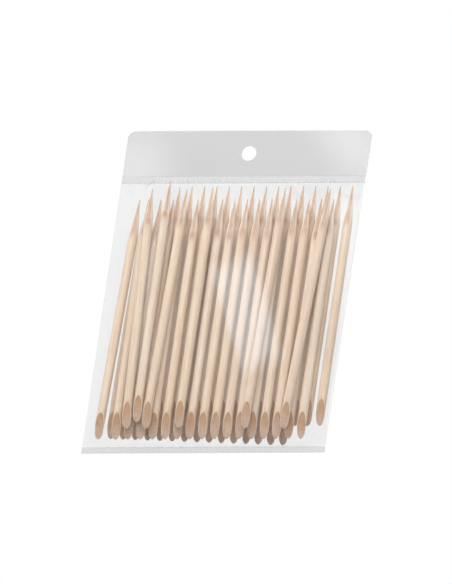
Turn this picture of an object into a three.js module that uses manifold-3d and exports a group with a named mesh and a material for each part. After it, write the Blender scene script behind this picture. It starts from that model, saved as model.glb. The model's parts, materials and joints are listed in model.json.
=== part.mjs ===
// A hanging retail pack of wooden cuticle pushers: loose birch sticks, each with a pointed end and a
// bevelled end, in a clear film pouch that is crimped shut above and below and hangs from a header strip.
//
// Millimetres, +Z up. The front of the pack faces -Y and its width runs along X.
// The origin is the middle of the pouch's bottom edge, in the plane of the seals and the header.
// "Depth" below means the distance in front of that plane, so a depth d lies at y = -d.
import * as THREE from "three";
import { mergeVertices } from "three/addons/utils/BufferGeometryUtils.js";
import Module from "manifold-3d";

const wasm = await Module();
wasm.setup();

// ---------------------------------------------------------------- driving dimensions

const STICK_LENGTH = 114.9;
const STICK_RADIUS = 2.15;
const STICK_SIDES = 12;
const TAPER_LENGTH = 18; // the sharpened end
const TAPER_POWER = 0.8; // below 1, so the point is slightly full, as a sanded point is
const TIP_RADIUS = 0.25;
const TAPER_STATIONS = [11, 5, 1.2]; // rings on the taper, measured back from the tip
const BEVEL_HEIGHT = 11.6; // how far the slanting cut runs up the stick
const BEVEL_LAND = 0.2; // thickness left at the bevel's end
const BEVEL_ROLL = THREE.MathUtils.degToRad(7); // the bevels look forwards, rolled a little to +X

const POUCH_WIDTH = 117.2;
const POUCH_SKEW = 0.005; // the pouch is sealed a little out of square: its sides lean to +X by this slope
const BOTTOM_SEAL_HEIGHT = 3;
const TOP_SEAL_LOW = 130;
const TOP_SEAL_HIGH = 133.4;
const SEAL_THICKNESS = 0.3;
const RIB_PITCH = 1.1;
const RIB_DEPTH = 0.2;

const HEADER_WIDTH = 117.3;
const HEADER_X = 0.75; // the strip's middle, which follows the pouch's lean
const HEADER_LOW = 134;
const HEADER_HIGH = 155.2;
const HEADER_THICKNESS = 0.4;
const HEADER_CORNER = 3.5;
const HANG_HOLE_RADIUS = 3.55;
const HANG_HOLE_X = 1.55;
const HANG_HOLE_Z = 144.3;
const HANG_HOLE_SIDES = 32;

const FILM_THICKNESS = 0.1;
const FILM_EDGE_DEPTH = 0.2; // how far each film stands off the seal plane along its four edges
const FILM_SEAL_GAP = 0.2;
const FILM_CLEARANCE = 0.35; // between the film and every place a stick can reach
const FILM_COLUMNS = 20;
const FILM_ROWS = 22;
const FILM_SAMPLES = 9; // points along each side of a film cell when looking for sticks under it
const FILM_SWEEPS = 400;

const LAYER_GAP = 0.15; // between the sticks of one layer and the next
const LAYER_STEP = 2 * STICK_RADIUS + LAYER_GAP;
const STICK_PITCH = 5.95;

const MERGE_TOLERANCE = 1e-4;

// ---------------------------------------------------------------- layout of the sticks

// Each layer holds its depth and how far its sticks can slide before the film stops them, as the lowest
// place of the bevelled end and the highest place of the tip.
const LAYERS = {
  loose: { depth: 2 * LAYER_STEP, lowest: 8.3, highest: 127.2 },
  front: { depth: LAYER_STEP, lowest: 5.2, highest: 124 },
  middle: { depth: 0, lowest: 5, highest: 129.2 },
  rear: { depth: -LAYER_STEP, lowest: 5.9, highest: 125.2 },
};

// A stick stands on (x, z), its bevelled end, and its tip leans sideways by `lean`.
function stick(name, layer, x, z, lean) {
  return { name, layer: LAYERS[layer], x, z, lean };
}

// A layer of sticks side by side, each standing `stepZ` above the one on its left.
function row(name, layer, count, firstX, firstZ, stepZ, lean) {
  return Array.from({ length: count }, (_, i) => {
    const number = String(i + 1).padStart(2, "0");
    return stick(`${name}_${number}`, layer, firstX + i * STICK_PITCH, firstZ + i * stepZ, lean);
  });
}

const STICKS = [
  ...row("front_stick", "front", 16, -41.7, 5.7, 0, 0),
  ...row("middle_stick", "middle", 15, -29.4, 13.6, 0, 0),
  ...row("rear_stick", "rear", 15, -47.8, 9.5, -0.245, 2.4),
  stick("edge_stick", "front", -50, 5.8, 4),
  stick("loose_stick_1", "loose", -35.3, 9.1, -3.5),
  stick("loose_stick_2", "loose", -30.7, 12.2, 0.1),
  stick("loose_stick_3", "loose", -26, 9.1, 3.9),
  stick("loose_stick_4", "loose", -10.1, 9.5, 0.5),
  stick("loose_stick_5", "loose", 21.8, 9, 3.6),
  stick("loose_stick_6", "loose", 40.5, 8.8, 6.7),
];

// ---------------------------------------------------------------- materials

const wood = new THREE.MeshStandardMaterial({ color: 0xe6cfb2, roughness: 0.75, metalness: 0 });
const clearFilm = new THREE.MeshStandardMaterial({
  color: 0xf1f3f4,
  roughness: 0.08,
  metalness: 0,
  transparent: true,
  opacity: 0.2,
});
const crimpedFilm = new THREE.MeshStandardMaterial({
  color: 0xdcdddd,
  roughness: 0.3,
  metalness: 0,
  transparent: true,
  opacity: 0.8,
});
const headerFilm = new THREE.MeshStandardMaterial({ color: 0xd9d9d9, roughness: 0.35, metalness: 0 });

// ---------------------------------------------------------------- solids

function solidOf(geometry) {
  const bare = geometry.clone();
  bare.deleteAttribute("normal");
  bare.deleteAttribute("uv");
  const merged = mergeVertices(bare, MERGE_TOLERANCE);
  return new wasm.Manifold(
    new wasm.Mesh({
      numProp: 3,
      vertProperties: new Float32Array(merged.attributes.position.array),
      triVerts: new Uint32Array(merged.index.array),
    }),
  );
}

function geometryOf(solid) {
  const mesh = solid.getMesh();
  const geometry = new THREE.BufferGeometry();
  geometry.setAttribute("position", new THREE.BufferAttribute(mesh.vertProperties, 3));
  geometry.setIndex(new THREE.BufferAttribute(mesh.triVerts, 1));
  geometry.computeVertexNormals();
  return geometry;
}

// ---------------------------------------------------------------- one stick

function stickRadiusAt(height) {
  const fromTip = Math.max(STICK_LENGTH - height, 0);
  return STICK_RADIUS * Math.min(fromTip / TAPER_LENGTH, 1) ** TAPER_POWER;
}

// The bevel is a plane through the stick's far side at its end and its near side at BEVEL_HEIGHT.
function bevelPlaneOffset(height) {
  const landSide = STICK_RADIUS - BEVEL_LAND;
  return landSide - ((landSide + STICK_RADIUS) * height) / BEVEL_HEIGHT;
}

// Bevelled end at z = 0, tip at z = STICK_LENGTH, bevel looking to -Y.
function stickGeometry() {
  const profile = [
    new THREE.Vector2(0, 0),
    new THREE.Vector2(STICK_RADIUS, 0),
    new THREE.Vector2(STICK_RADIUS, STICK_LENGTH - TAPER_LENGTH),
    ...TAPER_STATIONS.map((t) => new THREE.Vector2(stickRadiusAt(STICK_LENGTH - t), STICK_LENGTH - t)),
    new THREE.Vector2(TIP_RADIUS, STICK_LENGTH - TIP_RADIUS),
    new THREE.Vector2(0, STICK_LENGTH),
  ];
  const blank = new THREE.LatheGeometry(profile, STICK_SIDES).rotateX(Math.PI / 2);

  const slope = Math.atan2(BEVEL_HEIGHT, bevelPlaneOffset(BEVEL_HEIGHT) - bevelPlaneOffset(0));
  const cutter = new THREE.BoxGeometry(4 * STICK_RADIUS, 4 * BEVEL_HEIGHT, 4 * STICK_RADIUS);
  cutter.translate(0, 0, 2 * STICK_RADIUS);
  cutter.rotateX(slope);
  cutter.translate(0, bevelPlaneOffset(0), 0);
  return geometryOf(solidOf(blank).subtract(solidOf(cutter)));
}

function placedStick(geometry, { name, layer, x, z, lean }) {
  const mesh = new THREE.Mesh(geometry, wood);
  mesh.name = name;
  mesh.position.set(x, -layer.depth, z);
  mesh.rotation.order = "YXZ";
  mesh.rotation.y = Math.asin(lean / STICK_LENGTH);
  mesh.rotation.z = BEVEL_ROLL;
  return mesh;
}

// ---------------------------------------------------------------- seals and header

// The pouch's sideways lean at height z.
function skewAt(z) {
  return POUCH_SKEW * z;
}

// A flat strip whose front face is crimped into fine upright ribs.
function sealGeometry(low, high) {
  const half = POUCH_WIDTH / 2;
  const ribs = Math.round(POUCH_WIDTH / RIB_PITCH);
  const outline = new THREE.Shape();
  outline.moveTo(half, SEAL_THICKNESS / 2);
  outline.lineTo(-half, SEAL_THICKNESS / 2);
  for (let i = 0; i <= 2 * ribs; i += 1) {
    const crest = i % 2 ? RIB_DEPTH : 0;
    outline.lineTo(-half + (i * POUCH_WIDTH) / (2 * ribs), -SEAL_THICKNESS / 2 - crest);
  }
  outline.closePath();
  const strip = new THREE.ExtrudeGeometry(outline, { depth: high - low, bevelEnabled: false });
  return strip.translate(skewAt(low), 0, low);
}

function headerGeometry() {
  const half = HEADER_WIDTH / 2;
  const outline = new THREE.Shape();
  const [left, right] = [HEADER_X - half, HEADER_X + half];
  const arcZ = HEADER_HIGH - HEADER_CORNER;
  outline.moveTo(left, HEADER_LOW);
  outline.lineTo(right, HEADER_LOW);
  outline.lineTo(right, arcZ);
  outline.absarc(right - HEADER_CORNER, arcZ, HEADER_CORNER, 0, Math.PI / 2);
  outline.lineTo(left + HEADER_CORNER, HEADER_HIGH);
  outline.absarc(left + HEADER_CORNER, arcZ, HEADER_CORNER, Math.PI / 2, Math.PI);
  outline.closePath();
  const hole = new THREE.Path();
  hole.absarc(HANG_HOLE_X, HANG_HOLE_Z, HANG_HOLE_RADIUS, 0, 2 * Math.PI, true);
  outline.holes.push(hole);
  const plate = new THREE.ExtrudeGeometry(outline, {
    depth: HEADER_THICKNESS,
    bevelEnabled: false,
    curveSegments: HANG_HOLE_SIDES / 2,
  });
  return plate.rotateX(Math.PI / 2).translate(0, HEADER_THICKNESS / 2, 0);
}

// ---------------------------------------------------------------- film

// How far a stick stands out towards one face of the pack over the point (x, z), wherever it has slid to.
// `side` is +1 for the front film and -1 for the rear one.
function reach(s, side, x, z) {
  const along = z - s.z;
  const across = x - (s.x + (s.lean * along) / STICK_LENGTH);
  const slideDown = s.layer.lowest - s.z;
  const slideUp = s.layer.highest - (s.z + STICK_LENGTH);
  const height = THREE.MathUtils.clamp(STICK_LENGTH / 2, along - slideUp, along - slideDown);
  const radius = stickRadiusAt(height);
  if (height < 0 || height > STICK_LENGTH || Math.abs(across) > radius) return -Infinity;
  const round = Math.sqrt(radius ** 2 - across ** 2);
  const cut = side > 0 ? Math.min(round, -bevelPlaneOffset(height)) : round;
  return side * s.layer.depth + cut;
}

// Grid lines crowd towards both ends, where the film rises most steeply.
function gridLines(low, high, count) {
  return Array.from({ length: count + 1 }, (_, i) =>
    THREE.MathUtils.lerp(low, high, (1 - Math.cos((Math.PI * i) / count)) / 2),
  );
}

// The least each grid point may stand out, so that no stick shows through any cell that touches it.
function obstacleUnder(xs, zs, side) {
  const least = xs.map(() => zs.map(() => FILM_EDGE_DEPTH));
  for (let i = 0; i < xs.length - 1; i += 1)
    for (let j = 0; j < zs.length - 1; j += 1) {
      let highest = -Infinity;
      for (let a = 0; a < FILM_SAMPLES; a += 1)
        for (let b = 0; b < FILM_SAMPLES; b += 1) {
          const x = THREE.MathUtils.lerp(xs[i], xs[i + 1], a / (FILM_SAMPLES - 1));
          const z = THREE.MathUtils.lerp(zs[j], zs[j + 1], b / (FILM_SAMPLES - 1));
          for (const s of STICKS) highest = Math.max(highest, reach(s, side, x + skewAt(z), z));
        }
      for (const [u, v] of [[i, j], [i + 1, j], [i, j + 1], [i + 1, j + 1]])
        least[u][v] = Math.max(least[u][v], highest + FILM_CLEARANCE + FILM_THICKNESS);
    }
  return least;
}

// A taut sheet held along its edges and pushed out by what lies under it: every free point settles at the
// weighted mean of its neighbours, and none sinks below its obstacle.
function tautSheet(xs, zs, least) {
  const depth = least.map((line) => [...line]);
  const lastX = xs.length - 1;
  const lastZ = zs.length - 1;
  for (let sweep = 0; sweep < FILM_SWEEPS; sweep += 1)
    for (let i = 1; i < lastX; i += 1)
      for (let j = 1; j < lastZ; j += 1) {
        const [left, right] = [xs[i] - xs[i - 1], xs[i + 1] - xs[i]];
        const [below, above] = [zs[j] - zs[j - 1], zs[j + 1] - zs[j]];
        const acrossMean = (depth[i - 1][j] * right + depth[i + 1][j] * left) / (left + right);
        const alongMean = (depth[i][j - 1] * above + depth[i][j + 1] * below) / (below + above);
        const acrossWeight = 1 / (left * right);
        const alongWeight = 1 / (below * above);
        const mean = (acrossMean * acrossWeight + alongMean * alongWeight) / (acrossWeight + alongWeight);
        depth[i][j] = Math.max(mean, least[i][j]);
      }
  for (let i = 0; i <= lastX; i += 1) depth[i][0] = depth[i][lastZ] = FILM_EDGE_DEPTH;
  for (let j = 0; j <= lastZ; j += 1) depth[0][j] = depth[lastX][j] = FILM_EDGE_DEPTH;
  return depth;
}

// One face of the pouch as a thin closed sheet, `side` as in reach().
function filmGeometry(side) {
  const xs = gridLines(-POUCH_WIDTH / 2, POUCH_WIDTH / 2, FILM_COLUMNS);
  const zs = gridLines(BOTTOM_SEAL_HEIGHT + FILM_SEAL_GAP, TOP_SEAL_LOW - FILM_SEAL_GAP, FILM_ROWS);
  const depth = tautSheet(xs, zs, obstacleUnder(xs, zs, side));
  const positions = [];
  for (const inset of [0, FILM_THICKNESS])
    xs.forEach((x, i) =>
      zs.forEach((z, j) => positions.push(x + skewAt(z), -side * (depth[i][j] - inset), z)),
    );

  const point = (i, j, inner) => (inner * xs.length + i) * zs.length + j;
  const index = [];
  const quad = (a, b, c, d) => index.push(...(side > 0 ? [a, b, c, a, c, d] : [a, c, b, a, d, c]));
  for (let i = 0; i < xs.length - 1; i += 1)
    for (let j = 0; j < zs.length - 1; j += 1) {
      quad(point(i, j, 0), point(i + 1, j, 0), point(i + 1, j + 1, 0), point(i, j + 1, 0));
      quad(point(i, j, 1), point(i, j + 1, 1), point(i + 1, j + 1, 1), point(i + 1, j, 1));
    }
  const lastX = xs.length - 1;
  const lastZ = zs.length - 1;
  for (let i = 0; i < lastX; i += 1) {
    quad(point(i, 0, 1), point(i + 1, 0, 1), point(i + 1, 0, 0), point(i, 0, 0));
    quad(point(i, lastZ, 0), point(i + 1, lastZ, 0), point(i + 1, lastZ, 1), point(i, lastZ, 1));
  }
  for (let j = 0; j < lastZ; j += 1) {
    quad(point(0, j, 1), point(0, j, 0), point(0, j + 1, 0), point(0, j + 1, 1));
    quad(point(lastX, j, 0), point(lastX, j, 1), point(lastX, j + 1, 1), point(lastX, j + 1, 0));
  }
  const geometry = new THREE.BufferGeometry();
  geometry.setAttribute("position", new THREE.Float32BufferAttribute(positions, 3));
  geometry.setIndex(index);
  geometry.computeVertexNormals();
  return geometry;
}

// ---------------------------------------------------------------- the pack

function named(name, geometry, material) {
  const mesh = new THREE.Mesh(geometry, material);
  mesh.name = name;
  return mesh;
}

const pouch = new THREE.Group();
pouch.add(
  named("front_film", filmGeometry(1), clearFilm),
  named("rear_film", filmGeometry(-1), clearFilm),
  named("bottom_seal", sealGeometry(0, BOTTOM_SEAL_HEIGHT), crimpedFilm),
  named("top_seal", sealGeometry(TOP_SEAL_LOW, TOP_SEAL_HIGH), crimpedFilm),
);

const sticks = new THREE.Group();
const sharedStick = stickGeometry();
STICKS.forEach((s) => sticks.add(placedStick(sharedStick, s)));

const pack = new THREE.Group();
pack.add(named("header", headerGeometry(), headerFilm), pouch, sticks);

export default pack;
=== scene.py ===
"""Looks for a hanging retail pack of wooden cuticle pushers: smooth sanded birch sticks, a taut clear
film pouch pulled over them, ribbed crimp seals and a frosted header strip with a hang hole.

The front of the pack faces -Y, its width runs along X and it hangs along Z. All lengths are in metres.
"""

import json
import math
from collections import namedtuple

import bmesh
import bpy
import numpy as np
from mathutils import Matrix, Vector


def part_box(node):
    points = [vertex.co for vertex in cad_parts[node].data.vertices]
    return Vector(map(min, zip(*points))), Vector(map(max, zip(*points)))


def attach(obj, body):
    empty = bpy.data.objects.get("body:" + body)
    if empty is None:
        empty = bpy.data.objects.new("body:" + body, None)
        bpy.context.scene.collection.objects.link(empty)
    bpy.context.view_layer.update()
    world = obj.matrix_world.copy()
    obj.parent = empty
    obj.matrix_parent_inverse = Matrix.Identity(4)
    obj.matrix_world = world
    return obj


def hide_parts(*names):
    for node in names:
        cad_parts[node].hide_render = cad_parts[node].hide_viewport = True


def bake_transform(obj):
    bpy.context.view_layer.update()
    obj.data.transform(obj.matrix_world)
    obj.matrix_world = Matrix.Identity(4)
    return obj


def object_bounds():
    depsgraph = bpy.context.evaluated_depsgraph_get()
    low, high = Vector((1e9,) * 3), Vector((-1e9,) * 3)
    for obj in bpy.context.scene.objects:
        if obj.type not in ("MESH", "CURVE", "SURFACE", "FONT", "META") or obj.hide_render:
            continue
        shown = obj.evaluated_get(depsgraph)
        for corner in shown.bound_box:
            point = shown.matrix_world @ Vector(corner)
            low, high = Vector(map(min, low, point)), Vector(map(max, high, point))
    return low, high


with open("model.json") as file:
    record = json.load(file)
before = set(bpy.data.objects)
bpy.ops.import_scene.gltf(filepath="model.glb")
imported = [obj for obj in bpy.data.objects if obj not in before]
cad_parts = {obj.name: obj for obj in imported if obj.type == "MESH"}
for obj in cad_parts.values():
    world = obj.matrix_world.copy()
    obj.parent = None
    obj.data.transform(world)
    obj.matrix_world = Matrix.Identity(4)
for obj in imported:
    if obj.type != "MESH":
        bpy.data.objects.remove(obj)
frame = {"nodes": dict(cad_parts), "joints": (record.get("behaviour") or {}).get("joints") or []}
cad_low, cad_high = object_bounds()

MM = 0.001
SEED = 7

# ---------------------------------------------------------------- sizes

CUT_SEGMENTS = 10  # across the bevel's flat face
ROUND_SEGMENTS = 18  # round the rest of the stick
BEVEL_RINGS = 24
SHAFT_RINGS = 34
TAPER_RINGS = 22
RELEASE_LENGTH = 3 * MM  # above the bevel, where the points spread evenly round the stick again
RELEASE_RINGS = (0.08, 0.3, 0.6, 1)  # heights of the rings there, in release lengths
TAPER_LEAD = 1 * MM  # length of shaft below the taper that shares its close rings
TAPER_POWER = 0.8  # below 1, so that the point is a little full
END_ROUNDING = 1.8 * MM  # length over which the bevelled end closes to its rounded edge
END_WIDTH = 0.25  # of the full width, left at the very end
EDGE_WEAR = 0.06 * MM  # how far the sanded face dips towards its rim
CREASE_ANGLE = math.radians(32)
LEAST_CORNER = 0.06  # radians; keeps the points at the top of the cut apart
TIP_RADIUS = 0.27 * MM
TIP_FLAT = 0.05 * MM  # radius of the tiny flat that closes the point
TIP_SHIFT = 0.12 * MM  # how far a point may sit off its stick's middle line
SHAFT_SHARE = 0.962  # of the CAD radius, which leaves room for the unevenness
FACETS = ((0.020, 3, 40), (0.012, 7, -90))  # share of the radius, waves round the stick, radians per metre
SWELLS = ((0.010, 170), (0.006, 410))  # share of the radius, radians per metre along the stick

END_SLICE = 0.05 * MM  # CAD points this close to the bevelled end lie on its thin edge
SHAFT_EDGE = 0.999  # of the radius; CAD points at least this far out lie on the shaft
FACING_EDGE = 0.97  # of the radius; those this far to the bevel's side show where the bevel stops

ON_FACE = 1.0  # values of the cut attribute
ON_RIM = 0.5
GRAIN_SPREAD = 10  # metres between the places in the wood pattern that sticks are taken from
TAPER_PLAY = 1.5 * MM  # how far the cone's colour may start above or below the taper
BURNISH_START = (-4 * MM, 1 * MM)  # from the taper's start, where the burnished band fades in
BURNISH_END = (2 * MM, 3.5 * MM)  # and where it fades out
BURNISH_LEAST = 0.6  # strength of the band on the least burnished stick

FILM_THICKNESS = 0.06 * MM
FILM_CLEARANCE = 0.25 * MM  # between the film and everything a stick can reach
LEAST_CLEARANCE = 0.12 * MM  # of that, kept where the film is smoothed
FILM_CELL = 0.8 * MM
FILM_START = 0.8  # of the greatest depth, from which the sheet settles
FILM_SWEEPS = 900
FILM_OVER_RELAXATION = 1.9
FILM_SMOOTHINGS = 6
FILM_SPAN = 18 * MM  # half the widest valley between sticks that the taut film bridges flat
NO_STICK = -1.0  # a depth behind everything, where no stick holds the film out

FOLD_PITCH = 9 * MM  # spacing of the soft folds that run in from the seals
FOLD_WAVES = ((1, 1.0), (0.57, 0.6))  # spacing in pitches, and strength
FOLD_SWELL = 5.3  # pitches between the stronger folds
FOLD_CALM = 0.6  # strength of the folds between those
FOLD_DEPTH = 0.35 * MM
FOLD_REACH = 14 * MM
FOLD_FAN = 0.5  # share by which the folds have spread at their reach
FOLD_START = 2.5 * MM  # distance from the seal at which the folds are full
FOLD_ROOM = 2 * MM  # depth of the film at which they are full

RIB_PITCH = 1.1 * MM
RIB_DEPTH = 0.07 * MM
RIB_LEAST = 0.6  # depth of the faintest rib, of the deepest
RIB_SLANT = 0.1  # steepest lean of the ribs
RIB_BACK = 0.6  # depth of the ribs behind, of those in front
SEAL_HALF_THICKNESS = 0.1 * MM
SEAL_EDGE = 0.5 * MM  # width over which the crimped band thins out at its upper and lower edges
SEAL_EDGE_SHARE = 0.15  # of the band's thickness, left there
SAMPLES_PER_RIB = 8
SEAL_BODY_ROWS = 5

HEADER_THICKNESS = 0.14 * MM
HEADER_CELL = 1.2 * MM
HEADER_WELD = 0.02 * MM  # points closer than this are joined
HEADER_BOW = 0.5 * MM
BOW_SHAPE = (0.9, 0.35, -0.5)  # of the half width squared, the half width and one
HEADER_MARGIN = 2 * MM  # the hole's CAD points lie farther than this from the strip's edges
TOP_SLICE = 0.01 * MM  # CAD points this close to the top lie on its straight edge
HOLE_SIDES = 64
CORNER_STEPS = 12


# ---------------------------------------------------------------- small helpers

def smooth_step(value, low, high):
    t = np.clip((value - low) / (high - low), 0, 1)
    return t * t * (3 - 2 * t)


def make_object(name, vertices, faces, material, smooth=True):
    mesh = bpy.data.meshes.new(name)
    mesh.from_pydata([tuple(v) for v in vertices], [], faces)
    mesh.polygons.foreach_set("use_smooth", [smooth] * len(mesh.polygons))
    mesh.materials.append(material)
    mesh.validate()
    mesh.update()
    piece = bpy.data.objects.new(name, mesh)
    bpy.context.scene.collection.objects.link(piece)
    return piece


def add_attribute(piece, name, kind, values):
    layer = piece.data.attributes.new(name, kind, "POINT")
    key = "vector" if kind == "FLOAT_VECTOR" else "value"
    layer.data.foreach_set(key, np.asarray(values, np.float32).ravel())


def grid_faces(columns, rows, start=0, flip=False, closed=False):
    """Quads over a grid of points stored column by column; closed joins the last column to the first."""
    faces = []
    for i in range(columns if closed else columns - 1):
        for j in range(rows - 1):
            here = start + i * rows + j
            there = start + ((i + 1) % columns) * rows + j
            quad = (here, there, there + 1, here + 1)
            faces.append(quad[::-1] if flip else quad)
    return faces


def closed_sheet(name, front, back, columns, rows, material, flip=False):
    """A closed body between two grids of points, joined round their edge."""
    count = len(front)
    faces = grid_faces(columns, rows, flip=flip) + grid_faces(columns, rows, count, flip=not flip)
    rim = [i * rows for i in range(columns)]
    rim += [(columns - 1) * rows + j for j in range(1, rows)]
    rim += [i * rows + rows - 1 for i in range(columns - 2, -1, -1)]
    rim += list(range(rows - 2, 0, -1))
    for a, b in zip(rim, rim[1:] + rim[:1]):
        quad = (a, a + count, b + count, b)
        faces.append(quad[::-1] if flip else quad)
    points = np.concatenate([front, back])
    piece = make_object(name, points, faces, material)
    add_attribute(piece, "sheet", "FLOAT_VECTOR", points)
    return piece


def stand_in(piece, node, body):
    """Shows the piece in place of its CAD node, and lets it move with a body."""
    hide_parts(node)
    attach(piece, body)
    return piece


def cad_points(node):
    return np.array([v.co for v in frame["nodes"][node].data.vertices], float)


# ---------------------------------------------------------------- node helpers

MIX_COLOUR_A = 6  # a Mix node has a set of sockets for each kind of data; these are the colour ones
MIX_COLOUR_B = 7
MIX_RESULT = 2

# A noise pattern: waves per metre across Z and along it, detail and roughness.
Pattern = namedtuple("Pattern", "across along detail roughness", defaults=(3, 0.55))


class Nodes:
    """The node tree of a material or a world, with short calls that add to it."""

    def __init__(self, owner):
        owner.use_nodes = True
        self.owner = owner
        self.tree = owner.node_tree
        self.tree.nodes.clear()

    def add(self, kind, inputs=None, **settings):
        node = self.tree.nodes.new(kind)
        for key, value in settings.items():
            setattr(node, key, value)
        for key, value in (inputs or {}).items():
            self.feed(node.inputs[key], value)
        return node

    def feed(self, socket, value):
        if isinstance(value, bpy.types.NodeSocket):
            self.tree.links.new(value, socket)
        else:
            socket.default_value = value

    def math(self, operation, *values, clamp=False):
        node = self.add("ShaderNodeMath", operation=operation, use_clamp=clamp)
        for socket, value in zip(node.inputs, values):
            self.feed(socket, value)
        return node.outputs[0]

    def mix(self, factor, a, b):
        node = self.add("ShaderNodeMix", {"Factor": factor}, data_type="RGBA")
        self.feed(node.inputs[MIX_COLOUR_A], a)
        self.feed(node.inputs[MIX_COLOUR_B], b)
        return node.outputs[MIX_RESULT]

    def attribute(self, name):
        return self.add("ShaderNodeAttribute", attribute_name=name)

    def scaled(self, vector, scale):
        node = self.add("ShaderNodeVectorMath", operation="MULTIPLY")
        self.feed(node.inputs[0], vector)
        self.feed(node.inputs[1], scale)
        return node.outputs[0]

    def noise(self, place, pattern):
        vector = self.scaled(place, (pattern.across, pattern.across, pattern.along))
        inputs = {"Vector": vector, "Scale": 1.0}
        inputs.update({"Detail": pattern.detail, "Roughness": pattern.roughness})
        return self.add("ShaderNodeTexNoise", inputs).outputs["Fac"]

    def ramp(self, factor, *stops):
        node = self.add("ShaderNodeValToRGB", {"Fac": factor})
        elements = node.color_ramp.elements
        while len(elements) < len(stops):
            elements.new(0.5)
        for element, (position, colour) in zip(elements, stops):
            element.position = position
            element.color = (*colour, 1)
        return node.outputs["Color"]

    def finish(self, shader):
        output = self.add("ShaderNodeOutputMaterial")
        self.tree.links.new(shader, output.inputs["Surface"])
        return self.owner


# ---------------------------------------------------------------- wood

CREAM = (0.73, 0.575, 0.420)
PALE = (0.79, 0.670, 0.545)
PINKISH = (0.72, 0.550, 0.430)
STREAK = (0.63, 0.430, 0.285)
CUT_HIGH = (0.60, 0.345, 0.175)
CUT_LOW = (0.69, 0.490, 0.370)
CUT_LINE = (0.46, 0.280, 0.165)
# Pale rim round the bevel: partly the paler wood at the cut's edge, partly a painted highlight along its
# sharp edge.
RIM_PALE_WOOD_AND_HIGHLIGHT = (0.86, 0.740, 0.610)
CONE_CORE = (0.545, 0.378, 0.282)
# Painted highlight: the pale colour laid along the cone's two flanks.
CONE_FLANK_HIGHLIGHT = (0.80, 0.700, 0.600)
TIP = (0.56, 0.355, 0.205)
BURNISH = (0.43, 0.245, 0.150)
BLACK = (0, 0, 0)
WHITE = (1, 1, 1)

FIBRES = Pattern(1900, 45, 4)
PATCHES = Pattern(700, 90)
BROAD = Pattern(260, 14, 2)
PALE_FIBRES = Pattern(1300, 22)
FINE_FIBRES = Pattern(5200, 160)
FLECKS = Pattern(3600, 420, 2, 0.7)
CUT_PATCHES = Pattern(300, 200, 2)
CUT_FIBRES = Pattern(1900, 130)
CUT_PORES = Pattern(5200, 900, 3, 0.7)
SAW_LINES = Pattern(260, 3600, 2)

# Where a noise starts to show and where it is full, and how strongly it stains.
Stain = namedtuple("Stain", "colour low high strength")
BROAD_STAIN = Stain(PALE, 0.42, 0.62, 0.4)
PALE_STAIN = Stain(PALE, 0.5, 0.6, 0.6)
STREAK_STAIN = Stain(STREAK, 0.5, 0.64, 0.6)
FINE_STAIN = Stain(STREAK, 0.52, 0.7, 0.3)
FLECK_STAIN = Stain(STREAK, 0.66, 0.72, 0.35)
CONE_STAIN = Stain(BURNISH, 0.5, 0.64, 0.3)
CUT_FIBRE_STAIN = Stain(CUT_LINE, 0.5, 0.66, 0.45)
CUT_PORE_STAIN = Stain(CUT_LINE, 0.5, 0.68, 0.5)
SAW_STAIN = Stain(CUT_LINE, 0.54, 0.66, 0.45)
RIM_PALE_AND_HIGHLIGHT = Stain(RIM_PALE_WOOD_AND_HIGHLIGHT, 0.2, 0.5, 0.75)

TONES = ((0.0, PINKISH), (0.4, CREAM), (0.75, CREAM), (1.0, PALE))  # from stick to stick
TIP_POWER = 2.5  # keeps the tip's colour near the tip
CONE_EDGE = 5.0  # how sharply the cone's colour starts
CORE_EDGE = (0.10, 0.55)  # where the core's colour starts to give way to the flank's painted highlight, and has
CORE_WANDER = 0.8
BURNISH_PATCHES = ((0.3, (0.4, 0.4, 0.4)), (0.6, WHITE))
CUT_SHADES = ((0.2, CUT_LOW), (0.85, CUT_HIGH))  # up the bevel
CUT_WANDER = 0.9
CUT_TONE = 0.35  # how far a stick's tone moves its bevel's shading
FACE_EDGE = (0.62, 0.85)
WOOD_BUMP = 0.06 * MM
BUMP_STRENGTH = 0.35
SAW_BUMP = 0.8  # of the fibres' height
WOOD_ROUGHNESS = 0.58
FIBRE_ROUGHNESS = 0.18
WOOD_SPECULAR = 0.35
WOOD_SHEEN = 0.05


def mask(n, value, low, high):
    """Black where the value is low and white where it is high."""
    return n.ramp(value, (low, BLACK), (high, WHITE))


def stain(n, base, value, look):
    """Lays a stain's colour over the base where the value is high."""
    cover = n.math("MULTIPLY", mask(n, value, look.low, look.high), look.strength, clamp=True)
    return n.mix(cover, base, (*look.colour, 1))


def centred(n, value, width):
    """A value round one half, moved to round zero and stretched."""
    return n.math("MULTIPLY", n.math("SUBTRACT", value, 0.5), width)


def shaft_colour(n, place, tone, fibres):
    colour = n.ramp(tone, *TONES)
    colour = stain(n, colour, n.noise(place, BROAD), BROAD_STAIN)
    colour = stain(n, colour, n.noise(place, PALE_FIBRES), PALE_STAIN)
    colour = stain(n, colour, fibres, STREAK_STAIN)
    colour = stain(n, colour, n.noise(place, FINE_FIBRES), FINE_STAIN)
    return stain(n, colour, n.noise(place, FLECKS), FLECK_STAIN)


def cone_colour(n, taper, core, fibres):
    """Turning to a point opens the grain, tan where the rings are cut across; the two flanks are painted
    pale, a painted highlight along the cone's edges.
    """
    open_grain = n.mix(n.math("POWER", taper, TIP_POWER), (*CONE_CORE, 1), (*TIP, 1))
    open_grain = stain(n, open_grain, fibres, CONE_STAIN)
    return n.mix(core, (*CONE_FLANK_HIGHLIGHT, 1), open_grain)


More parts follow.
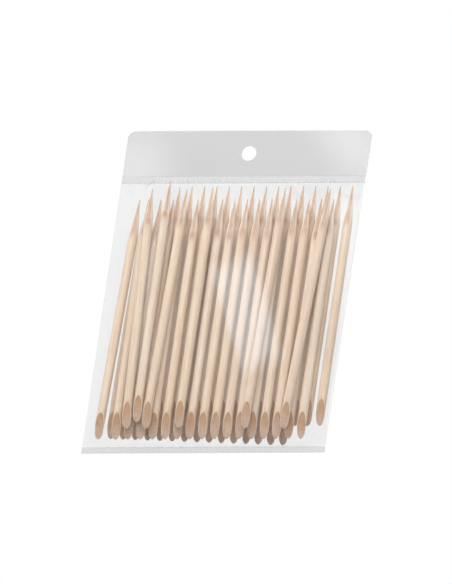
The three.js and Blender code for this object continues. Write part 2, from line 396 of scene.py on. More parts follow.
def bevel_colour(n, place, rise, tone, saw):
    """The sawn face, tan at its top and paler towards the thin end, with pores and faint saw lines."""
    shade = n.math("ADD", rise, centred(n, n.noise(place, CUT_PATCHES), CUT_WANDER))
    shade = n.math("ADD", shade, centred(n, tone, CUT_TONE))
    colour = n.ramp(shade, *CUT_SHADES)
    colour = stain(n, colour, n.noise(place, CUT_FIBRES), CUT_FIBRE_STAIN)
    colour = stain(n, colour, n.noise(place, CUT_PORES), CUT_PORE_STAIN)
    return stain(n, colour, saw, SAW_STAIN)


def wood_surface(n, colour, fibres, sawn):
    """The wood's finish: dull, with a fine relief of fibres and saw lines."""
    height = n.math("ADD", fibres, n.math("MULTIPLY", sawn, SAW_BUMP))
    bump = n.add("ShaderNodeBump", {"Strength": BUMP_STRENGTH, "Distance": WOOD_BUMP, "Height": height})
    roughness = n.math("ADD", WOOD_ROUGHNESS, n.math("MULTIPLY", fibres, FIBRE_ROUGHNESS))
    return n.add("ShaderNodeBsdfPrincipled", {
        "Base Color": colour,
        "Roughness": roughness,
        "Normal": bump.outputs["Normal"],
        "Specular IOR Level": WOOD_SPECULAR,
        "Sheen Weight": WOOD_SHEEN,
    }).outputs["BSDF"]


def wood_material():
    """Sanded birch. `grain` is a point in the stick's own frame; the other attributes mark its regions."""
    n = Nodes(bpy.data.materials.new("stick_wood"))
    place = n.attribute("grain").outputs["Vector"]
    names = ("tone", "cut", "rise", "taper", "shoulder", "flank")
    tone, cut, rise, taper, shoulder, flank = (n.attribute(name).outputs["Fac"] for name in names)
    fibres = n.noise(place, FIBRES)
    patches = n.noise(place, PATCHES)
    saw = n.noise(place, SAW_LINES)
    across_core = n.math("ADD", flank, centred(n, patches, CORE_WANDER))
    core = n.ramp(across_core, (CORE_EDGE[0], WHITE), (CORE_EDGE[1], BLACK))

    colour = shaft_colour(n, place, tone, fibres)
    coned = n.math("MULTIPLY", taper, CONE_EDGE, clamp=True)
    colour = n.mix(coned, colour, cone_colour(n, taper, core, fibres))
    burnished = n.math("MULTIPLY", n.math("MULTIPLY", shoulder, core), n.ramp(patches, *BURNISH_PATCHES))
    colour = n.mix(burnished, colour, (*BURNISH, 1))
    # Paints the bevel's rim pale: partly paler wood at the cut's edge, partly a painted highlight along
    # that edge.
    colour = stain(n, colour, cut, RIM_PALE_AND_HIGHLIGHT)
    on_face = mask(n, cut, *FACE_EDGE)
    colour = n.mix(on_face, colour, bevel_colour(n, place, rise, tone, saw))
    return n.finish(wood_surface(n, colour, fibres, n.math("MULTIPLY", saw, on_face)))


# ---------------------------------------------------------------- plastics

STRAIGHT_SHINE = 0.036  # share that a thin sheet mirrors towards an eye straight in front of it
GRAZING_SHINE = 0.5  # and towards one that looks along it
SCHLICK_POWER = 5.0

FILM_TINT = (0.925, 0.928, 0.93)
FILM_MILK = (0.95, 0.95, 0.96)
FILM_HAZE = 0.022
SMUDGE_HAZE = 0.02
SMUDGE_EDGE = (0.4, 0.75)
FILM_ROUGHNESS = 0.05
SMUDGE_ROUGHNESS = 0.05
RIPPLES = Pattern(60, 26)
SMUDGES = Pattern(35, 35, 4)
RIPPLE_HEIGHT = 0.8 * MM
RIPPLE_STRENGTH = 0.08

SEAL_TINT = (0.785, 0.787, 0.789)
SEAL_MILK = (0.45, 0.452, 0.455)
SEAL_HAZE = 0.26
RIB_HAZE = 0.26  # more on the pressed lines
SEAL_ROUGHNESS = 0.3
SEAL_CLOUDS = Pattern(90, 60)

HEADER_DARK = (0.46, 0.458, 0.464)
HEADER_LIGHT = (0.50, 0.498, 0.50)
HEADER_CLOUDS = Pattern(18, 30)
HEADER_GRIT = Pattern(2400, 2400, 2)
GRIT_HEIGHT = 0.03 * MM
GRIT_STRENGTH = 0.08
HEADER_ROUGHNESS = 0.24
HEADER_SPECULAR = 0.5
HEADER_COAT = 0.3
COAT_ROUGHNESS = 0.12
HEADER_SEEN_THROUGH = (0.9, 0.9, 0.9)
HEADER_COVER = 0.82  # share of light that the strip doesn't let through


def shine_share(n, normal):
    """Schlick's rule for how much a thin sheet mirrors, from facing the eye to edge-on."""
    geometry = n.add("ShaderNodeNewGeometry")
    facing = n.add("ShaderNodeVectorMath", operation="DOT_PRODUCT")
    n.feed(facing.inputs[0], geometry.outputs["Incoming"])
    n.feed(facing.inputs[1], normal)
    turned = n.math("SUBTRACT", 1.0, n.math("ABSOLUTE", facing.outputs["Value"]), clamp=True)
    rise = n.math("MULTIPLY", n.math("POWER", turned, SCHLICK_POWER), GRAZING_SHINE - STRAIGHT_SHINE)
    return n.math("ADD", STRAIGHT_SHINE, rise)


def sheet_shader(n, tint, haze, milk, roughness, normal):
    """Thin plastic: mostly see-through, with a shine that grows edge-on and a little milky haze.

    The sheet is a thin shell, so only its face towards the eye counts and the far face is left clear."""
    clear = n.add("ShaderNodeBsdfTransparent", {"Color": (*tint, 1)})
    milky = n.add("ShaderNodeBsdfDiffuse", {"Color": (*milk, 1)})
    body = n.add("ShaderNodeMixShader", {0: haze, 1: clear.outputs[0], 2: milky.outputs[0]})
    inputs = {"Color": (*WHITE, 1), "Roughness": roughness, "Normal": normal}
    shine = n.add("ShaderNodeBsdfGlossy", inputs)
    inputs = {0: shine_share(n, normal), 1: body.outputs[0], 2: shine.outputs[0]}
    near = n.add("ShaderNodeMixShader", inputs)
    far = n.add("ShaderNodeBsdfTransparent", {"Color": (*WHITE, 1)})
    backfacing = n.add("ShaderNodeNewGeometry").outputs["Backfacing"]
    return n.add("ShaderNodeMixShader", {0: backfacing, 1: near.outputs[0], 2: far.outputs[0]}).outputs[0]


def film_material():
    n = Nodes(bpy.data.materials.new("clear_film"))
    place = n.attribute("sheet").outputs["Vector"]
    ripples = n.noise(place, RIPPLES)
    smudge = n.noise(place, SMUDGES)
    inputs = {"Strength": RIPPLE_STRENGTH, "Distance": RIPPLE_HEIGHT, "Height": ripples}
    normal = n.add("ShaderNodeBump", inputs).outputs["Normal"]
    roughness = n.math("ADD", FILM_ROUGHNESS, n.math("MULTIPLY", smudge, SMUDGE_ROUGHNESS))
    smudged = n.math("MULTIPLY", mask(n, smudge, *SMUDGE_EDGE), SMUDGE_HAZE)
    haze = n.math("ADD", FILM_HAZE, smudged)
    return n.finish(sheet_shader(n, FILM_TINT, haze, FILM_MILK, roughness, normal))


def seal_material():
    """Film pressed milky by the crimping jaws, in fine lines across the band."""
    n = Nodes(bpy.data.materials.new("crimped_film"))
    place = n.attribute("sheet").outputs["Vector"]
    pressed = n.attribute("rib").outputs["Fac"]
    uneven = n.noise(place, SEAL_CLOUDS)
    haze = n.math("ADD", SEAL_HAZE, n.math("MULTIPLY", pressed, n.math("MULTIPLY", uneven, RIB_HAZE)))
    normal = n.add("ShaderNodeNewGeometry").outputs["Normal"]
    return n.finish(sheet_shader(n, SEAL_TINT, haze, SEAL_MILK, SEAL_ROUGHNESS, normal))


def header_material():
    """Frosted film printed a pale grey: milky, satin, and a little see-through."""
    n = Nodes(bpy.data.materials.new("header_film"))
    place = n.attribute("sheet").outputs["Vector"]
    clouds = n.noise(place, HEADER_CLOUDS)
    grit = n.noise(place, HEADER_GRIT)
    bump = n.add("ShaderNodeBump", {"Strength": GRIT_STRENGTH, "Distance": GRIT_HEIGHT, "Height": grit})
    base = n.add("ShaderNodeBsdfPrincipled", {
        "Base Color": n.mix(clouds, (*HEADER_DARK, 1), (*HEADER_LIGHT, 1)),
        "Roughness": HEADER_ROUGHNESS,
        "Normal": bump.outputs["Normal"],
        "Specular IOR Level": HEADER_SPECULAR,
        "Coat Weight": HEADER_COAT,
        "Coat Roughness": COAT_ROUGHNESS,
    })
    through = n.add("ShaderNodeBsdfTransparent", {"Color": (*HEADER_SEEN_THROUGH, 1)})
    inputs = {0: HEADER_COVER, 1: through.outputs[0], 2: base.outputs["BSDF"]}
    return n.finish(n.add("ShaderNodeMixShader", inputs).outputs[0])


# ---------------------------------------------------------------- sticks

class Stick:
    """Where a stick stands, read from its CAD solid: end, direction, bevel side, length and slide range."""

    def __init__(self, name, joint):
        points = cad_points(name)
        self.name = name
        self.along = np.array(joint["axis"], float)
        self.along /= np.linalg.norm(self.along)
        self.slide = joint["range_m"]
        heights = points @ self.along
        tip = points[heights.argmax()]
        self.length = float(heights.max() - heights.min())
        self.end = tip - self.length * self.along
        heights = heights - heights.min()
        offsets = points - self.end
        offsets -= np.outer(offsets @ self.along, self.along)
        distances = np.linalg.norm(offsets, axis=1)
        self.radius = float(distances.max())
        lowest = heights < END_SLICE
        land = offsets[lowest].mean(axis=0)
        self.facing = -land / np.linalg.norm(land)
        self.side = np.cross(self.along, self.facing)
        towards = offsets @ self.facing
        full = distances > SHAFT_EDGE * self.radius
        self.taper_start = float(heights[full].max())
        self.bevel_start = float(towards[lowest].max())
        self.bevel_top = float(heights[full & (towards > FACING_EDGE * self.radius)].min())


def stick_radius(stick, height):
    """Profile of a sharpened stick; a little full towards the tip."""
    share = np.clip((stick.length - height) / (stick.length - stick.taper_start), 0, 1)
    return stick.radius * share**TAPER_POWER


def bevel_limit(stick, height):
    """How far towards its facing side the stick reaches at this height, because of the slanting cut."""
    return stick.bevel_start + (stick.radius - stick.bevel_start) * height / stick.bevel_top


def stick_heights(stick):
    """Rings along the stick, closest at both ends of the bevel and at the point."""
    bevel = stick.bevel_top * (1 - np.cos(np.linspace(0, math.pi, BEVEL_RINGS))) / 2
    release = stick.bevel_top + RELEASE_LENGTH * np.array(RELEASE_RINGS)
    shaft = np.linspace(release[-1], stick.taper_start - TAPER_LEAD, SHAFT_RINGS)[1:]
    share = np.linspace(0, 1, TAPER_RINGS)[1:]
    taper = shaft[-1] + (stick.length - shaft[-1]) * (2 * share - share**2)
    return np.concatenate([bevel, release, shaft, taper])


def ring_radius(stick, height):
    """Radius of a ring; the point ends in a small round tip."""
    rounded = TIP_RADIUS * math.sqrt(max((stick.length - height) / TIP_RADIUS, 0))
    return max(stick_radius(stick, height), min(rounded, TIP_RADIUS), TIP_FLAT)


def ring_corner(stick, height, radius):
    """Half the angle that the cut takes from a ring; above the bevel it opens until the points are even."""
    corner = LEAST_CORNER
    if height <= stick.bevel_top:
        corner = max(math.acos(np.clip(bevel_limit(stick, height) / radius, -1, 1)), LEAST_CORNER)
    even = math.pi * CUT_SEGMENTS / (CUT_SEGMENTS + ROUND_SEGMENTS)
    return corner + (even - corner) * smooth_step(height - stick.bevel_top, 0, RELEASE_LENGTH)


def ring_angles(corner):
    """Angles from the facing side of a ring's points: across the cut, then round the rest."""
    across = np.linspace(-1, 1, CUT_SEGMENTS + 1) * corner
    around = corner + (2 * math.pi - 2 * corner) * np.arange(1, ROUND_SEGMENTS) / ROUND_SEGMENTS
    return np.concatenate([across, around])


def ring_share(height, angles, phases):
    """Share of the radius at each angle: whittled wood is a little faceted and swells here and there."""
    share = np.full(len(angles), SHAFT_SHARE)
    for (size, waves, twist), phase in zip(FACETS, phases):
        share += size * np.sin(waves * angles + phase + twist * height)
    for (size, turn), phase in zip(SWELLS, phases[len(FACETS):]):
        share += size * math.sin(turn * height + phase)
    return share


def flatten_cut(towards, sideways):
    """Draws a ring's points across the cut onto its flat face, which dips a little towards the rim."""
    across = np.linspace(-1, 1, CUT_SEGMENTS + 1)
    corners = [0, CUT_SEGMENTS]
    towards[:CUT_SEGMENTS + 1] = np.interp(across, (-1, 1), towards[corners]) - EDGE_WEAR * across**2
    sideways[:CUT_SEGMENTS + 1] = np.interp(across, (-1, 1), sideways[corners])


def stick_rings(stick, heights, phases):
    """Points of every ring in the stick's frame, as towards, sideways and the cut attribute."""
    towards = np.zeros((CUT_SEGMENTS + ROUND_SEGMENTS, len(heights)))
    sideways = np.zeros_like(towards)
    cut = np.zeros_like(towards)
    for j, height in enumerate(heights):
        radius = ring_radius(stick, height)
        angles = ring_angles(ring_corner(stick, height, radius))
        shape = radius * ring_share(height, angles, phases)
        towards[:, j] = shape * np.cos(angles)
        sideways[:, j] = shape * np.sin(angles)
        if height <= stick.bevel_top:
            flatten_cut(towards[:, j], sideways[:, j])
            cut[1:CUT_SEGMENTS, j] = ON_FACE if j else ON_RIM
            cut[[0, CUT_SEGMENTS], j] = ON_RIM
    return towards, sideways, cut


def mark_regions(piece, stick, towards, sideways, heights, taper_start, tone):
    """Attributes that tell the wood material where the bevel, the cone and the burnished band are."""
    burnish = smooth_step(heights, *(taper_start + edge for edge in BURNISH_START))
    burnish *= 1 - smooth_step(heights, *(taper_start + edge for edge in BURNISH_END))
    burnish *= BURNISH_LEAST + (1 - BURNISH_LEAST) * tone
    add_attribute(piece, "shoulder", "FLOAT", burnish)
    add_attribute(piece, "tone", "FLOAT", np.full(heights.size, tone))
    add_attribute(piece, "rise", "FLOAT", np.clip(heights / stick.bevel_top, 0, 1))
    add_attribute(piece, "taper", "FLOAT", smooth_step(heights, taper_start - TAPER_PLAY, stick.length))
    add_attribute(piece, "flank", "FLOAT", sideways**2 / (towards**2 + sideways**2 + TIP_RADIUS**2))


def stick_faces(sides, rows):
    """Quads round the stick, and a face that closes each end."""
    faces = grid_faces(sides, rows, closed=True)
    faces.append(tuple(i * rows for i in range(sides))[::-1])
    faces.append(tuple(i * rows + rows - 1 for i in range(sides)))
    return faces


def stick_piece(stick, material, rng):
    phases = rng.uniform(0, 2 * math.pi, len(FACETS) + len(SWELLS))
    tone = rng.uniform()
    grain_place = rng.uniform(0, GRAIN_SPREAD, 3)
    taper_start = stick.taper_start + rng.uniform(-1, 1) * TAPER_PLAY
    tip_shift = rng.uniform(-1, 1, 2) * TIP_SHIFT

    towards, sideways, cut = stick_rings(stick, stick_heights(stick), phases)
    heights = np.broadcast_to(stick_heights(stick), towards.shape)
    closing = np.sqrt(1 - (1 - np.clip(heights / END_ROUNDING, 0, 1)) ** 2)
    sideways *= END_WIDTH + (1 - END_WIDTH) * closing
    lean = smooth_step(heights, stick.taper_start, stick.length)
    towards += tip_shift[0] * lean
    sideways += tip_shift[1] * lean
    local = np.stack([towards, sideways, heights], axis=-1).reshape(-1, 3)
    points = stick.end + local @ np.stack([stick.facing, stick.side, stick.along])
    piece = make_object(stick.name + "_wood", points, stick_faces(*towards.shape), material)
    piece.data.set_sharp_from_angle(angle=CREASE_ANGLE)
    add_attribute(piece, "grain", "FLOAT_VECTOR", local + grain_place)
    add_attribute(piece, "cut", "FLOAT", cut)
    mark_regions(piece, stick, towards, sideways, heights, taper_start, tone)
    return stand_in(piece, stick.name, stick.name)


# ---------------------------------------------------------------- film

def cut_reach(stick, height, radius):
    """How far in front of the stick's middle line its slanting cut reaches; the cut is rolled a little."""
    limit = bevel_limit(stick, height)
    half_width = np.sqrt(np.clip(radius**2 - limit**2, 0, None))
    return limit * abs(stick.facing[1]) + half_width * abs(stick.facing[0])


def stick_reach(stick, side, x, z):
    """Least depth that clears this stick over (x, z) wherever it slides; side is 1 in front, -1 behind."""
    along = z - stick.end[2]
    across = x - (stick.end[0] + stick.along[0] / stick.along[2] * along)
    nearest = np.maximum(np.abs(across) - FILM_CELL / 2, 0)
    down, up = stick.slide
    height = np.clip(stick.length / 2, along - up, along - down)
    radius = np.maximum(stick_radius(stick, height), TIP_RADIUS + TIP_SHIFT)
    hit = (height >= 0) & (height <= stick.length) & (nearest < radius)
    crown = np.sqrt(np.clip(radius**2 - nearest**2, 0, None))
    if stick.facing[1] * side < 0:
        crown = np.minimum(crown, cut_reach(stick, height, radius))
    return np.where(hit, -side * stick.end[1] + crown, NO_STICK)


def widest(field):
    """The field with each point raised to its highest neighbour, so that contact is gentle."""
    out = field
    for axis in (0, 1):
        for step in (-1, 1):
            out = np.maximum(out, np.roll(field, step, axis))
    return out


def bridged(field, reach):
    """The field with its valleys across X filled flat, up to twice reach cells wide."""
    margin = 2 * reach
    wide = np.pad(field, ((margin, margin), (0, 0)), constant_values=field.min())
    shifts = range(-reach, reach + 1)
    raised = np.max([np.roll(wide, i, 0) for i in shifts], axis=0)
    return np.min([np.roll(raised, i, 0) for i in shifts], axis=0)[margin:-margin]


def mean_round(field):
    """Mean of each cell's four neighbours."""
    return sum(np.roll(field, step, axis) for axis in (0, 1) for step in (1, -1)) / 4


def inside(shape):
    """True everywhere but on the border."""
    cells = np.zeros(shape, bool)
    cells[1:-1, 1:-1] = True
    return cells


def tauten(least, start):
    """A sheet held at its border and pushed out from below, by red-black over-relaxation."""
    depth = np.maximum(start, least)
    i, j = np.indices(depth.shape)
    colours = [inside(depth.shape) & ((i + j) % 2 == k) for k in (0, 1)]
    for _ in range(FILM_SWEEPS):
        for cells in colours:
            moved = depth + FILM_OVER_RELAXATION * (mean_round(depth) - depth)
            depth = np.where(cells, np.maximum(moved, least), depth)
    return depth


def smoothed(field):
    """Softens the field inside its border, which stays put."""
    for _ in range(FILM_SMOOTHINGS):
        field = np.where(inside(field.shape), (field + mean_round(field)) / 2, field)
    return field


def seal_folds(x, z, low, high, rng):
    """Soft folds that fan in from both seals and die out."""
    total = np.zeros_like(x)
    for edge, sign in ((low, 1), (high, -1)):
        distance = sign * (z - edge)
        fade = np.exp(-distance / FOLD_REACH) * np.clip(distance / FOLD_START, 0, 1)
        phases = rng.uniform(0, 2 * math.pi, len(FOLD_WAVES) + 1)
        turns = 2 * math.pi * x / FOLD_PITCH
        fan = 1 + FOLD_FAN * distance / FOLD_REACH
        uneven = FOLD_CALM + (1 - FOLD_CALM) * np.sin(turns / FOLD_SWELL + phases[-1])
        for (spacing, strength), phase in zip(FOLD_WAVES, phases):
            wave = strength * (1 + np.sin(turns / (spacing * fan) + phase)) / 2
            total = total + FOLD_DEPTH * fade * uneven * wave
    return total


def pouch_grid():
    """Places (x, z) all over the pouch's face between its seals, leaning as the pouch does."""
    below_low, below_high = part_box("bottom_seal")
    above_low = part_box("top_seal")[0]
    bottom, top = below_high.z, above_low.z
    width = below_high.x - below_low.x
    across = np.linspace(0, 1, int(width / FILM_CELL) + 1)
    rise = np.linspace(0, 1, int((top - bottom) / FILM_CELL) + 1)
    across, rise = np.meshgrid(across, rise, indexing="ij")
    return below_low.x + (above_low.x - below_low.x) * rise + width * across, bottom + (top - bottom) * rise


def film_depth(x, z, side, sticks):
    """Depth of the taut sheet: it bridges the sticks and comes in to the seals and the side edges."""
    reach = widest(np.max([stick_reach(stick, side, x, z) for stick in sticks], axis=0))
    edge = SEAL_HALF_THICKNESS
    least = np.maximum(bridged(reach, round(FILM_SPAN / FILM_CELL)) + FILM_CLEARANCE, edge)
    cells = inside(x.shape)
    least = np.where(cells, least, edge)
    start = np.where(cells, FILM_START * least.max(), edge)
    depth = smoothed(tauten(least, start))
    return np.maximum(depth, np.where(cells, reach + LEAST_CLEARANCE, edge))


def film_piece(name, side, sticks, material, rng):
    x, z = pouch_grid()
    depth = film_depth(x, z, side, sticks)
    edge = SEAL_HALF_THICKNESS
    room = smooth_step(depth, edge, edge + FOLD_ROOM)
    depth = depth + seal_folds(x, z, z.min(), z.max(), rng) * room
    outer = np.stack([x, -side * depth, z], axis=-1).reshape(-1, 3)
    inner = np.stack([x, -side * (depth - FILM_THICKNESS), z], axis=-1).reshape(-1, 3)
    piece = closed_sheet(name + "_sheet", outer, inner, *x.shape, material, flip=side < 0)
    return stand_in(piece, name, "pouch")


# ---------------------------------------------------------------- seals and header

def seal_piece(name, material, rng):
    low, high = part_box(name)
    ribs = round((high.x - low.x) / RIB_PITCH)
    xs = np.linspace(low.x, high.x, ribs * SAMPLES_PER_RIB + 1)
    middle = np.linspace(low.z + SEAL_EDGE, high.z - SEAL_EDGE, SEAL_BODY_ROWS)
    step = SEAL_EDGE / 2
    zs = np.concatenate([[low.z, low.z + step], middle, [high.z - step, high.z]])
    x, z = np.meshgrid(xs, zs, indexing="ij")
    strength = np.interp(x, np.linspace(low.x, high.x, ribs), rng.uniform(RIB_LEAST, 1.0, ribs))
    slant = rng.uniform(-1, 1) * RIB_SLANT * (z - low.z)
    rib = strength * np.sin(2 * math.pi * (x - low.x + slant) / RIB_PITCH)
    inward = np.minimum(z - low.z, high.z - z)
    body = SEAL_EDGE_SHARE + (1 - SEAL_EDGE_SHARE) * smooth_step(inward, 0, SEAL_EDGE)
    front = np.stack([x, -(SEAL_HALF_THICKNESS + RIB_DEPTH * rib) * body, z], axis=-1)
    back = np.stack([x, (SEAL_HALF_THICKNESS - RIB_BACK * RIB_DEPTH * rib) * body, z], axis=-1)
    grids = (front.reshape(-1, 3), back.reshape(-1, 3))
    piece = closed_sheet(name + "_crimp", *grids, *x.shape, material)
    add_attribute(piece, "rib", "FLOAT", np.tile((1 + rib).ravel() / 2, 2))
    return stand_in(piece, name, "pouch")


def hang_hole():
    """Centre (x, z) and radius of the header's hole, read from the CAD solid's inner vertices."""
    low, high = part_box("header")
    places = cad_points("header")[:, [0, 2]]
    least = np.array([low.x, low.z]) + HEADER_MARGIN
    most = np.array([high.x, high.z]) - HEADER_MARGIN
    hole = places[((places > least) & (places < most)).all(axis=1)]
    centre = (hole.min(axis=0) + hole.max(axis=0)) / 2
    return centre, float(np.ptp(hole[:, 0]) / 2)


def corner_radius():
    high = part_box("header")[1]
    points = cad_points("header")
    top = points[points[:, 2] > high.z - TOP_SLICE]
    return float(high.x - top[:, 0].max())


def header_loops(left, right, bottom, top):
    """The strip's outline, with its two upper corners rounded, and the hole in it, as (x, z) places."""
    radius = corner_radius()
    outline = [(left, bottom), (right, bottom)]
    for centre, start in ((right - radius, 0), (left + radius, math.pi / 2)):
        for angle in np.linspace(start, start + math.pi / 2, CORNER_STEPS + 1):
            outline.append((centre + radius * math.cos(angle), top - radius + radius * math.sin(angle)))
    centre, radius = hang_hole()
    hole = []
    for k in range(HOLE_SIDES):
        angle = -2 * math.pi * k / HOLE_SIDES
        hole.append((centre[0] + radius * math.cos(angle), centre[1] + radius * math.sin(angle)))
    return outline, hole


def cut_across(mesh, low, high, axis):
    """Cuts a flat mesh into strips one cell wide, so that it can bend."""
    count = int((high - low) / HEADER_CELL) + 1
    for cut in np.linspace(low, high, count + 1)[1:-1]:
        geometry = mesh.verts[:] + mesh.edges[:] + mesh.faces[:]
        bmesh.ops.bisect_plane(mesh, geom=geometry, plane_co=axis * cut, plane_no=axis)


def flat_strip(left, right, bottom, top):
    """The strip's outline filled in and cut along grid lines, still without thickness."""
    mesh = bmesh.new()
    edges = []
    for loop in header_loops(left, right, bottom, top):
        vertices = [mesh.verts.new((x, 0, z)) for x, z in loop]
        for a, b in zip(vertices, vertices[1:] + vertices[:1]):
            edges.append(mesh.edges.new((a, b)))
    bmesh.ops.triangle_fill(mesh, edges=edges, use_beauty=True, normal=(0, -1, 0))
    cut_across(mesh, left, right, Vector((1, 0, 0)))
    cut_across(mesh, bottom, top, Vector((0, 0, 1)))
    bmesh.ops.remove_doubles(mesh, verts=mesh.verts[:], dist=HEADER_WELD)
    bmesh.ops.triangulate(mesh, faces=mesh.faces[:])
    bmesh.ops.recalc_face_normals(mesh, faces=mesh.faces[:])
    data = bpy.data.meshes.new("header_strip")
    mesh.to_mesh(data)
    mesh.free()
    return data


def thickened(data):
    """A piece made from the flat mesh, with the strip's thickness."""
    piece = bpy.data.objects.new(data.name, data)
    bpy.context.scene.collection.objects.link(piece)
    solidify = piece.modifiers.new("thickness", "SOLIDIFY")
    solidify.thickness = HEADER_THICKNESS
    solidify.offset = 0
    bpy.context.view_layer.update()
    evaluated = piece.evaluated_get(bpy.context.evaluated_depsgraph_get())
    solid = bpy.data.meshes.new_from_object(evaluated)
    piece.modifiers.clear()
    piece.data = solid
    return piece


def header_piece(material):
    low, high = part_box("header")
    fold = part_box("top_seal")[1].z
    piece = thickened(flat_strip(low.x, high.x, fold, high.z))
    piece.data.materials.append(material)
    points = np.array([v.co for v in piece.data.vertices], float)
    rise = (points[:, 2] - fold) / (high.z - fold)
    across = (2 * points[:, 0] - low.x - high.x) / (high.x - low.x)
    points[:, 1] += HEADER_BOW * rise * np.polyval(BOW_SHAPE, across)
    piece.data.vertices.foreach_set("co", points.ravel())
    piece.data.update()
    add_attribute(piece, "sheet", "FLOAT_VECTOR", points)
    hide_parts("header")
    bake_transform(piece)
    return piece


# ---------------------------------------------------------------- stage

CAMERA_AZIMUTH = 23.27  # degrees
CAMERA_ELEVATION = -20.24
CAMERA_ROLL = 8.18
CAMERA_DISTANCE = 0.55
FRAMED_HEIGHTS = 1.684  # picture height in pack heights
GLARE_DISTANCE = 0.14
FLOOR_DROP = 0.45
FLOOR_HALF_WIDTH = 3.0
FLOOR_DARK = (0.95, 0.95, 0.95)
FLOOR_LIGHT = (0.97, 0.97, 0.97)
FLOOR_CLOUDS = Pattern(3, 3, 2)
FLOOR_ROUGHNESS = 0.8
SKY_COLOUR = (0.98, 0.99, 1)
SKY_BELOW = 0.2  # the sky's strength as a light, below the horizon
SKY_ABOVE = 0.62
SKY_EDGE = 0.6  # height, as a part of one, at which it stops changing

# Lamps that only light the pack: direction in degrees, distance and size in metres, power in watts.
Softbox = namedtuple("Softbox", "name azimuth elevation distance width height power")
SOFTBOXES = (
    Softbox("key", -12, 42, 0.9, 0.9, 0.7, 9.5),
    Softbox("fill", 25, 12, 1.1, 0.9, 0.8, 4.9),
    Softbox("back", 180, 25, 1.0, 0.9, 0.9, 8),
    Softbox("left", -100, 10, 1.1, 0.9, 0.9, 2.5),
    Softbox("right", 100, 10, 1.1, 0.9, 0.9, 2.5),
)

# Cards that only reflections show. Softness is the faded share of a half side, across and along.
Card = namedtuple("Card", "name width length colour strength softness")
WINDOW = (0.62, 0.83, 1.0)
GLARE_BAND = Card("glare_band", 21 * MM, 70 * MM, WINDOW, 6.8, (0.1, 0.45))
GLARE_LEFT = Card("glare_left", 13 * MM, 110 * MM, WINDOW, 2.4, (0.9, 0.6))
SHEEN_LOW = Card("sheen_low", 44 * MM, 60 * MM, WHITE, 7, (1, 1))
SHEEN_HIGH = Card("sheen_high", 44 * MM, 60 * MM, WHITE, 7.5, (1, 1))
SIDE_GLOW = Card("right_glow", 0.5, 0.5, WHITE, 3.0, (0.8, 0.8))

# Where each of them shows from the camera: x and z in metres, and its tilt in degrees.
FILM_GLARES = ((GLARE_BAND, 16.2 * MM, 63 * MM, 24.5), (GLARE_LEFT, -33 * MM, 76 * MM, 2))
HEADER_GLARES = ((SHEEN_LOW, -52 * MM, 137 * MM, 50), (SHEEN_HIGH, 52 * MM, 152 * MM, 50))
SIDE_GLOW_PLACE = (75, 20, 0.7)  # azimuth and elevation in degrees, distance in metres


def direction(azimuth, elevation):
    """Unit vector from the pack; azimuth 0 is straight in front and elevation is above the horizon."""
    azimuth, elevation = math.radians(azimuth), math.radians(elevation)
    return Vector((
        math.sin(azimuth) * math.cos(elevation),
        -math.cos(azimuth) * math.cos(elevation),
        math.sin(elevation),
    ))


def add_camera(middle, height):
    data = bpy.data.cameras.new("camera")
    data.type = "ORTHO"
    data.ortho_scale = FRAMED_HEIGHTS * height
    camera = bpy.data.objects.new("camera", data)
    bpy.context.scene.collection.objects.link(camera)
    back = direction(CAMERA_AZIMUTH, CAMERA_ELEVATION)
    right = Vector((0, 0, 1)).cross(back).normalized()
    up = back.cross(right)
    roll = math.radians(CAMERA_ROLL)
    rolled_right = math.cos(roll) * right + math.sin(roll) * up
    rolled_up = back.cross(rolled_right)
    turn = Matrix((rolled_right, rolled_up, back)).transposed().to_4x4()
    camera.matrix_world = Matrix.Translation(middle + CAMERA_DISTANCE * back) @ turn
    bpy.context.scene.camera = camera
    return camera


def add_softbox(box, middle):
    data = bpy.data.lights.new(box.name, "AREA")
    data.shape = "RECTANGLE"
    data.size = box.width
    data.size_y = box.height
    data.energy = box.power
    light = bpy.data.objects.new(box.name, data)
    bpy.context.scene.collection.objects.link(light)
    back = direction(box.azimuth, box.elevation)
    light.location = middle + box.distance * back
    light.rotation_mode = "QUATERNION"
    light.rotation_quaternion = back.to_track_quat("Z", "Y")
    light.visible_glossy = False


def card_material(card):
    """Light that fades towards the card's edges."""
    n = Nodes(bpy.data.materials.new(card.name))
    place = n.add("ShaderNodeSeparateXYZ", {"Vector": n.attribute("place").outputs["Vector"]})
    glow = card.strength
    for axis, softness in zip("XY", card.softness):
        inward = n.math("SUBTRACT", 1.0, n.math("ABSOLUTE", place.outputs[axis]), clamp=True)
        inputs = {"Value": inward, "From Max": softness}
        fade = n.add("ShaderNodeMapRange", inputs, interpolation_type="SMOOTHSTEP")
        glow = n.math("MULTIPLY", fade.outputs["Result"], glow)
    inputs = {"Color": (*card.colour, 1), "Strength": glow}
    return n.finish(n.add("ShaderNodeEmission", inputs).outputs[0])


def add_card(card, centre, across, along, receiver=None):
    """A glowing card that only reflections see, and only on the receiver if there is one."""
    half_across = np.array(across) * card.width / 2
    half_along = np.array(along) * card.length / 2
    signs = [(-1, -1), (1, -1), (1, 1), (-1, 1)]
    corners = [np.array(centre) + u * half_across + v * half_along for u, v in signs]
    sheet = make_object(card.name, corners, [(0, 1, 2, 3)], card_material(card), smooth=False)
    add_attribute(sheet, "place", "FLOAT_VECTOR", [(u, v, 0) for u, v in signs])
    for ray in ("camera", "diffuse", "transmission", "volume_scatter", "shadow"):
        setattr(sheet, "visible_" + ray, False)
    if receiver:
        sheet.light_linking.receiver_collection = bpy.data.collections.new(card.name + "_receivers")
        sheet.light_linking.receiver_collection.objects.link(receiver)


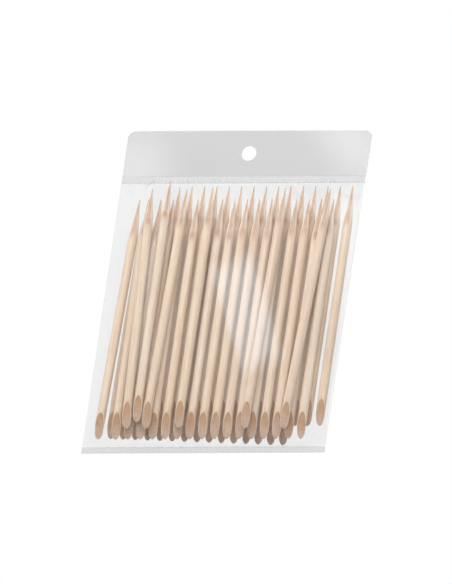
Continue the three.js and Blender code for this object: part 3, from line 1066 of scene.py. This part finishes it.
def add_glare(card, x, z, tilt, depth, receiver):
    """Places a card so that a flat front, at this depth, mirrors it to the camera at (x, z)."""
    eye = direction(CAMERA_AZIMUTH, CAMERA_ELEVATION)
    mirrored = Vector((-eye.x, eye.y, -eye.z))
    centre = Vector((x, -depth, z)) + GLARE_DISTANCE * mirrored
    turn = math.radians(tilt)
    along = (-math.sin(turn), 0, math.cos(turn))
    across = (math.cos(turn), 0, math.sin(turn))
    add_card(card, centre, across, along, receiver)


def add_side_glow(card, middle, azimuth, elevation, distance):
    back = direction(azimuth, elevation)
    across = back.cross(Vector((0, 0, 1))).normalized()
    along = across.cross(back)
    add_card(card, middle + distance * back, across, along)


def add_world():
    """White to the camera and in reflections, dimmer as a light, so that the pack keeps its shading."""
    world = bpy.data.worlds.new("studio")
    bpy.context.scene.world = world
    n = Nodes(world)
    place = n.add("ShaderNodeTexCoord").outputs["Generated"]
    height = n.add("ShaderNodeSeparateXYZ", {"Vector": place}).outputs["Z"]
    edges = {"From Min": -SKY_EDGE, "From Max": SKY_EDGE, "To Min": SKY_BELOW, "To Max": SKY_ABOVE}
    strength = n.add("ShaderNodeMapRange", {"Value": height, **edges}).outputs[0]
    lit = n.add("ShaderNodeBackground", {"Color": (*SKY_COLOUR, 1), "Strength": strength})
    seen = n.add("ShaderNodeBackground", {"Color": (*WHITE, 1), "Strength": 1.0})
    path = n.add("ShaderNodeLightPath").outputs
    bright = n.math("MAXIMUM", path["Is Camera Ray"], path["Is Glossy Ray"])
    mix = n.add("ShaderNodeMixShader", {0: bright, 1: lit.outputs[0], 2: seen.outputs[0]})
    n.add("ShaderNodeOutputWorld", {"Surface": mix.outputs[0]})


def floor_material():
    n = Nodes(bpy.data.materials.new("pale_floor"))
    clouds = n.noise(n.add("ShaderNodeTexCoord").outputs["Object"], FLOOR_CLOUDS)
    colour = n.mix(clouds, (*FLOOR_DARK, 1), (*FLOOR_LIGHT, 1))
    surface = n.add("ShaderNodeBsdfPrincipled", {"Base Color": colour, "Roughness": FLOOR_ROUGHNESS})
    return n.finish(surface.outputs["BSDF"])


def add_floor(height):
    half = FLOOR_HALF_WIDTH
    corners = [(-half, -half, height), (half, -half, height), (half, half, height), (-half, half, height)]
    floor = make_object("floor", corners, [(0, 1, 2, 3)], floor_material(), smooth=False)
    floor.visible_diffuse = False  # it throws no light up into the pack


# ---------------------------------------------------------------- build

def build():
    """Makes every piece, and returns the front film and the header for the cards that light them."""
    rng = np.random.default_rng(SEED)
    wood = wood_material()
    film = film_material()
    crimped = seal_material()
    slides = [j for j in frame["joints"] if j["type"] == "slide"]
    sticks = [Stick(j["child"], j) for j in sorted(slides, key=lambda j: j["child"])]
    for stick in sticks:
        stick_piece(stick, wood, rng)
    front = film_piece("front_film", 1, sticks, film, rng)
    film_piece("rear_film", -1, sticks, film, rng)
    seal_piece("top_seal", crimped, rng)
    seal_piece("bottom_seal", crimped, rng)
    return front, header_piece(header_material())


def light_and_frame(film, header):
    middle = Vector((0, 0, (cad_low.z + cad_high.z) / 2))
    add_world()
    add_floor(cad_low.z - FLOOR_DROP)
    for box in SOFTBOXES:
        add_softbox(box, middle)
    for card, x, z, tilt in FILM_GLARES:
        add_glare(card, x, z, tilt, -cad_low.y, film)
    for card, x, z, tilt in HEADER_GLARES:
        add_glare(card, x, z, tilt, 0, header)
    add_side_glow(SIDE_GLOW, middle, *SIDE_GLOW_PLACE)
    add_camera(middle, cad_high.z - cad_low.z)


light_and_frame(*build())
bpy.context.scene.view_settings.view_transform = "Standard"
